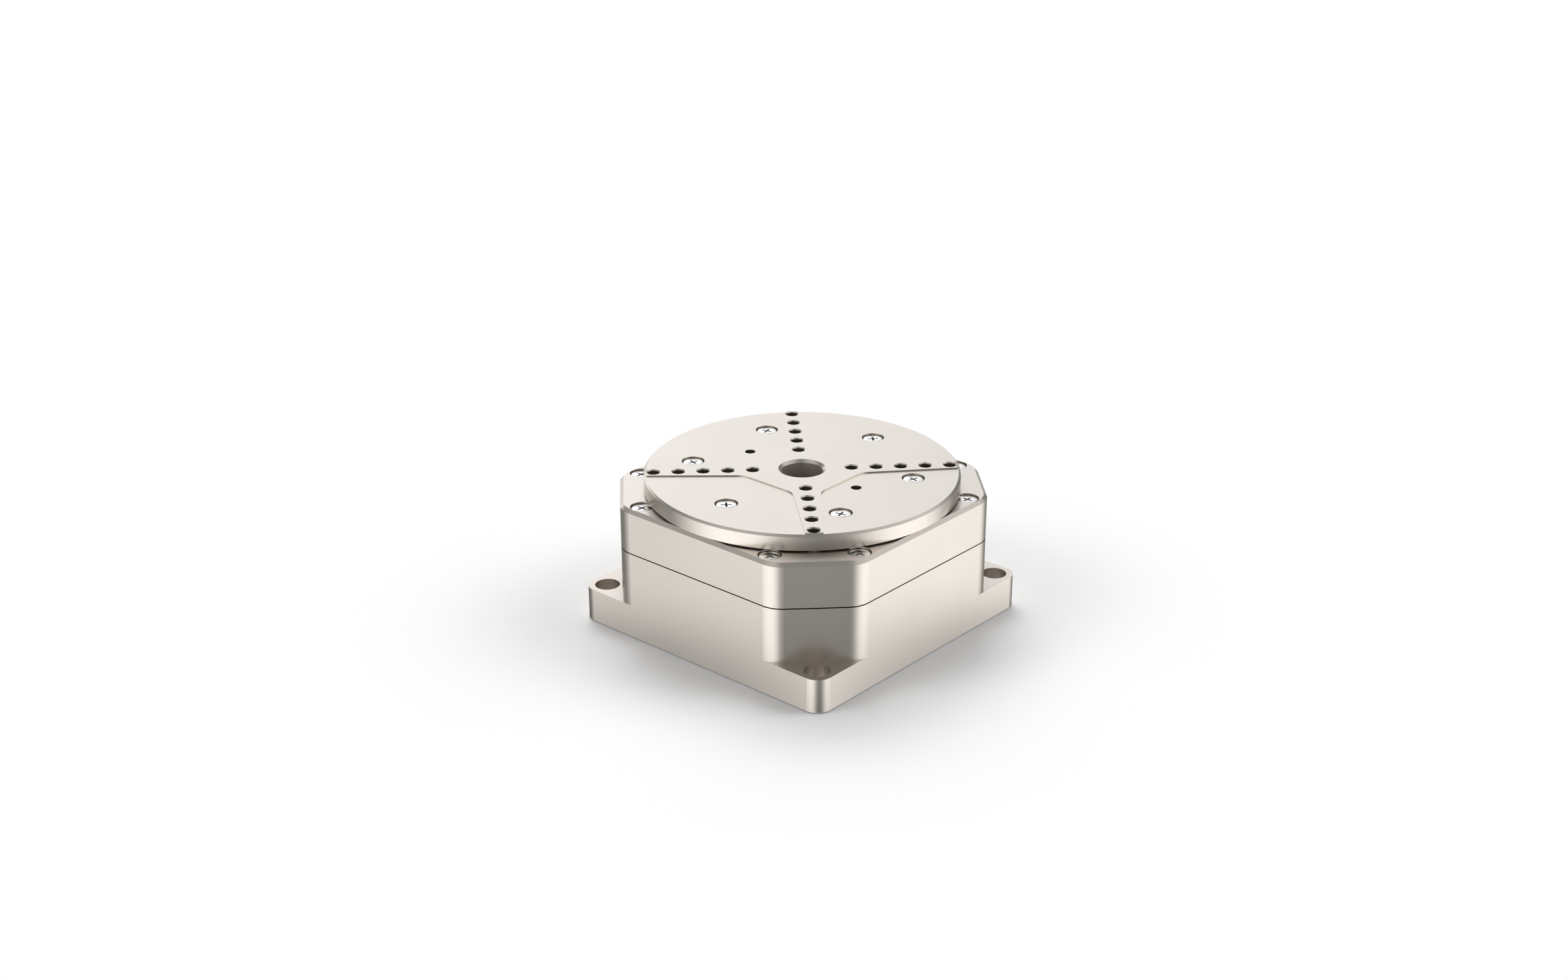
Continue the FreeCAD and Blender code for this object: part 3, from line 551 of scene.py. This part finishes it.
def dress_nodes(finishes):
    for part in frame["record"]["subparts"]:
        node = frame["nodes"][part["node"]]
        node.data.materials.clear()
        node.data.materials.append(finishes[part["material_slot"]])


# Screws with cross recesses

SEGMENTS = 40
SHARP_ANGLE = math.radians(35.0)
HEAD_EDGE = 0.07 * MM
EDGE_ROUNDING = 0.3
THREAD_DEPTH = 0.6

# Material slots of a screw's mesh: its metal, and the darker grey in the recess, which is painted shade
METAL, RECESS = 0, 1

# A wing's outline, in its half widths: the corner between two wings, how far out the straight side
# begins, and a point on the rounded end, back from the tip and to the side
WING_CORNER = 1.35
WING_STRAIGHT = 1.9
WING_END = (0.3, 0.7)

# Levels of the recess: how far its wings reach, their half width and the depth, as shares of the
# head's radius. The recess ends in a point below the last level.
RECESS_SPAN = 0.57
RECESS_WING = 0.085
RECESS_DEPTH = 0.6
RECESS_LEVELS = [(RECESS_SPAN, RECESS_WING * 1.2, 0.0),
                 (RECESS_SPAN * 0.96, RECESS_WING, 0.05),
                 (RECESS_SPAN * 0.55, RECESS_WING * 0.7, RECESS_DEPTH)]
RECESS_POINT = RECESS_DEPTH * 1.2

# The housing screws' recesses lie square to the foot, and the platform screws' turn with their place
HOUSING_RECESS_TURNS = [0.0] * len(HOUSING_AXES)
PLATFORM_RECESS_TURNS = [angle + EIGHTH_TURN for _, angle in PLATFORM_AXES]


def ring(mesh, radius, height):
    turns = [2 * math.pi * index / SEGMENTS for index in range(SEGMENTS)]
    return [mesh.verts.new((radius * math.cos(turn), radius * math.sin(turn), height)) for turn in turns]


def join_rings(mesh, upper, lower, material):
    count = len(upper)
    for index in range(count):
        after = (index + 1) % count
        face = mesh.faces.new((upper[index], lower[index], lower[after], upper[after]))
        face.material_index = material


def cross_outline(head_r, span_share, wing_share):
    """Outline of a cross recess: four wings with rounded ends, joined by small fillets."""
    span, wing = span_share * head_r, wing_share * head_r
    corner, straight = WING_CORNER * wing, WING_STRAIGHT * wing
    back, aside = [share * wing for share in WING_END]
    side = [(corner, corner), (straight, wing), (span - wing, wing), (span - back, aside), (span, 0.0),
            (span - back, -aside), (span - wing, -wing), (straight, -wing)]
    outline = []
    for quarter in range(4):
        turn = Matrix.Rotation(-quarter * QUARTER_TURN, 2)
        outline += [turn @ Vector(point) for point in side]
    return outline


def add_recess(mesh, head_r, rim):
    """Top face between the rim and a tapering cross recess, and the recess itself."""
    rings = []
    for span, wing, depth in RECESS_LEVELS:
        outline = cross_outline(head_r, span, wing)
        rings.append([mesh.verts.new((x, y, -depth * head_r)) for x, y in outline])
    for upper, lower in zip(rings, rings[1:]):
        join_rings(mesh, upper, lower, RECESS)
    tip = mesh.verts.new((0.0, 0.0, -RECESS_POINT * head_r))
    last = rings[-1]
    for index, vertex in enumerate(last):
        mesh.faces.new((vertex, tip, last[(index + 1) % len(last)])).material_index = RECESS
    borders = []
    for loop in (rim, rings[0]):
        borders += [mesh.edges.get(pair) for pair in zip(loop, loop[1:] + loop[:1])]
    bmesh.ops.triangle_fill(mesh, use_beauty=True, use_dissolve=False, edges=borders,
                            normal=(0.0, 0.0, 1.0))


def screw_profile(screw, length):
    """Radii and heights down the outside of a screw whose top is at z = 0."""
    rounding = EDGE_ROUNDING * HEAD_EDGE
    profile = [(screw.head_r - HEAD_EDGE, 0.0), (screw.head_r - rounding, -rounding),
               (screw.head_r, -HEAD_EDGE), (screw.head_r, -screw.head_height),
               (screw.shank_r, -screw.head_height)]
    root_r = screw.shank_r - THREAD_DEPTH * THREAD_PITCH
    thread_top = length - screw.thread_length
    for turn in range(int(screw.thread_length / THREAD_PITCH)):
        crest = -thread_top - turn * THREAD_PITCH
        profile += [(screw.shank_r, crest), (root_r, crest - THREAD_PITCH / 2)]
    return profile + [(root_r, -length)]


def screw_mesh(screw, length):
    mesh = bmesh.new()
    rings = [ring(mesh, radius, height) for radius, height in screw_profile(screw, length)]
    for upper, lower in zip(rings, rings[1:]):
        join_rings(mesh, upper, lower, METAL)
    mesh.faces.new(reversed(rings[-1]))
    add_recess(mesh, screw.head_r, rings[0])
    bmesh.ops.recalc_face_normals(mesh, faces=mesh.faces)
    data = bpy.data.meshes.new("screw")
    mesh.to_mesh(data)
    return data


def make_screws(name, node, axes, recess_turns, screw, body, finishes):
    """One piece with a detailed screw at each of the node's axes."""
    low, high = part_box(node)
    single = screw_mesh(screw, high[2] - low[2])
    whole = bmesh.new()
    for (radius, angle), recess_turn in zip(axes, recess_turns):
        place = Matrix.Translation((radius * math.cos(angle), radius * math.sin(angle), high[2]))
        placed = single.copy()
        placed.transform(place @ Matrix.Rotation(recess_turn, 4, "Z"))
        whole.from_mesh(placed)
        bpy.data.meshes.remove(placed)
    bpy.data.meshes.remove(single)
    data = bpy.data.meshes.new(name)
    whole.to_mesh(data)
    data.materials.append(finishes["screw_steel"])
    data.materials.append(finishes["recess"])
    data.shade_smooth()
    data.set_sharp_from_angle(angle=SHARP_ANGLE)
    piece = bpy.data.objects.new(name, data)
    bpy.context.scene.collection.objects.link(piece)
    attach(piece, body)
    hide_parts(node)


# Studio: a white room for the camera, and for reflections bright panels with dark gaps between

FRONT, BACK = "front", "back"
WHITE = (1.0, 1.0, 1.0)
COOL = (0.985, 1.0, 1.04)

# Each panel: the direction that its turn is measured from; the turns in degrees where it starts,
# is full, fades and ends; the same four for the height, as the sine of the elevation; its brightness
# and its tint
PANELS = {
    "left": (FRONT, (-115, -64, -37, 3), (-2.0, -1.5, 0.05, 1.28), 1.15, WHITE),
    "right": (FRONT, (20, 68, 99, 134), (-2.0, -1.5, 0.05, 1.28), 1.15, WHITE),
    "back_low": (BACK, (-32, -8, 8, 32), (-2.0, -1.5, -0.10, 0.05), 0.80, WHITE),
    "back_high": (BACK, (-37, -12, 0, 34), (0.0, 0.14, 0.45, 0.75), 0.86, COOL),
    "back_left": (BACK, (-80, -40, -20, 2), (-0.05, 0.03, 0.16, 0.40), 1.15, WHITE),
    "overhead": (FRONT, (-200, -190, 190, 200), (0.50, 0.95, 2.0, 3.0), 0.06, WHITE),
}

# The dark between the panels: behind the stage, and on the camera's side from low to high, with the
# heights and the directions between which it changes
DARK_BACK = 0.15
DARK_FRONT = (0.215, 0.11)
DARK_TINT = (1.0, 1.035, 1.0)
LOW_TO_HIGH = (-0.3, 0.3)
BACK_TO_FRONT = (-0.9, 0.6)

# Each soft light: its turn from the camera, its tilt from upright and its width, in degrees, and its
# strength
SKY_LIGHTS = {
    "behind": (189.0, 38.0, 19.2, 5.13),
    "behind_left": (-140.0, 39.0, 15.9, 1.07),
    "left": (-72.0, 49.7, 15.0, 5.45),
    "right": (92.0, 47.4, 16.6, 5.46),
}


def around_from_camera(degrees):
    """Horizontal direction at an angle from the camera's own, seen from the stage."""
    angle = math.atan2(-math.cos(CAMERA_AZIMUTH), math.sin(CAMERA_AZIMUTH)) + math.radians(degrees)
    return Vector((math.cos(angle), math.sin(angle), 0.0))


def reflected_room(nodes, direction, height):
    """What the metal mirrors: tall panels left and right, a bright back, and the dark between them."""
    across = nodes.dot(direction, around_from_camera(90.0))
    ahead = nodes.dot(direction, around_from_camera(0.0))
    behind = nodes.times(ahead, -1.0)
    turns = {FRONT: nodes.math("DEGREES", nodes.math("ARCTAN2", across, ahead)),
             BACK: nodes.math("DEGREES", nodes.math("ARCTAN2", across, behind))}
    dark_front = nodes.smooth(height, *LOW_TO_HIGH, *DARK_FRONT)
    dark = nodes.smooth(ahead, *BACK_TO_FRONT, DARK_BACK, dark_front)
    room = nodes.tinted(dark, DARK_TINT)
    for origin, turn_band, height_band, strength, tint in PANELS.values():
        shape = nodes.times(nodes.band(turns[origin], *turn_band), nodes.band(height, *height_band))
        panel = nodes.tinted(nodes.times(shape, strength), tint)
        room = nodes.vector("ADD", room, panel)
    return room


def soft_sky(nodes, direction):
    """Broad lights from behind and from both sides, which give the shadow on the floor."""
    sky = 0.0
    for turn, tilt, width, strength in SKY_LIGHTS.values():
        lean = math.radians(tilt)
        axis = around_from_camera(turn) * math.sin(lean) + Vector((0.0, 0.0, math.cos(lean)))
        away = nodes.math("ARCCOSINE", nodes.dot(direction, axis))
        share = nodes.math("DIVIDE", away, math.radians(width))
        lobe = nodes.math("EXPONENT", nodes.times(nodes.times(share, share), -1.0))
        sky = nodes.plus(sky, nodes.times(lobe, strength))
    return nodes.tinted(sky, WHITE)


def make_world():
    """The room's panels where metal mirrors it, plain white where it is seen, and the lights elsewhere."""
    world = bpy.data.worlds.new("studio")
    bpy.context.scene.world = world
    world.use_nodes = True
    nodes = Nodes(world.node_tree)
    direction = nodes.vector("NORMALIZE", nodes.add("ShaderNodeTexCoord").outputs["Generated"])
    height = nodes.parts(direction)[2]
    path = nodes.add("ShaderNodeLightPath").outputs
    before_diffuse = nodes.math("LESS_THAN", path["Diffuse Depth"], 0.5)
    mirrored = nodes.times(path["Is Glossy Ray"], before_diffuse)
    seen = nodes.larger(path["Is Camera Ray"], path["Is Transmission Ray"])
    light = nodes.mix(mirrored, soft_sky(nodes, direction), reflected_room(nodes, direction, height))
    light = nodes.mix(seen, light, WHITE)
    background = nodes.add("ShaderNodeBackground", {"Color": light, "Strength": 1.0})
    nodes.end("ShaderNodeOutputWorld", background.outputs[0])


# Fade and shade are distances from the floor's middle: where it fades into the white room, and where
# the painted shadow that metal mirrors, in place of the floor's cast shadow, fades out
FLOOR_HALF = 3.0
FLOOR_TOP = -0.02 * MM
FLOOR_COLOUR = (0.99, 0.99, 0.99)
FLOOR_FADE = (0.090, 0.130)
MIRRORED_PAINTED_SHADOW = (0.036, 0.080)
MIRRORED_PAINTED_SHADOW_DARKEST = 0.5


def floor_finish():
    """Pale where it takes the cast shadow, white further out, and in metal only a painted shadow that
    darkens towards the middle.

    It is clear from below, so that the underside can be seen."""
    material, nodes = new_material("floor_finish")
    distance = nodes.vector("LENGTH", nodes.place(), output="Value")
    # Painted shadow: what metal mirrors of the floor grows darker towards the middle, in place of the cast
    # shadow
    shade = nodes.tinted(nodes.smooth(distance, *MIRRORED_PAINTED_SHADOW, MIRRORED_PAINTED_SHADOW_DARKEST, 1.0), WHITE)
    pale = nodes.add("ShaderNodeBsdfDiffuse", {"Color": rgba(FLOOR_COLOUR)}).outputs[0]
    white = nodes.add("ShaderNodeEmission", {"Color": rgba(WHITE), "Strength": 1.0}).outputs[0]
    mirrored_painted_shadow = nodes.add("ShaderNodeBsdfTransparent", {"Color": shade}).outputs[0]
    clear = nodes.add("ShaderNodeBsdfTransparent").outputs[0]
    path = nodes.add("ShaderNodeLightPath").outputs
    underside = nodes.add("ShaderNodeNewGeometry").outputs["Backfacing"]
    from_below = nodes.times(underside, path["Is Camera Ray"])
    seen = nodes.mix_shaders(nodes.smooth(distance, *FLOOR_FADE), pale, white)
    above = nodes.mix_shaders(path["Is Glossy Ray"], seen, mirrored_painted_shadow)
    nodes.end("ShaderNodeOutputMaterial", nodes.mix_shaders(from_below, above, clear))
    return material


def make_floor():
    sides = ((-1, -1), (1, -1), (1, 1), (-1, 1))
    corners = [(x * FLOOR_HALF, y * FLOOR_HALF, FLOOR_TOP) for x, y in sides]
    mesh = bpy.data.meshes.new("floor")
    mesh.from_pydata(corners, [], [(0, 1, 2, 3)])
    mesh.materials.append(floor_finish())
    floor = bpy.data.objects.new("floor", mesh)
    bpy.context.scene.collection.objects.link(floor)


make_camera()
finishes = make_finishes()
dress_nodes(finishes)
make_screws("housing_screw_set", "housing_screws", HOUSING_AXES, HOUSING_RECESS_TURNS, HOUSING_SCREW,
            "root", finishes)
make_screws("platform_screw_set", "platform_screws", PLATFORM_AXES, PLATFORM_RECESS_TURNS,
            PLATFORM_SCREW, "rotor", finishes)
make_world()
make_floor()
bpy.context.scene.view_settings.view_transform = "Standard"

bpy.context.view_layer.update()
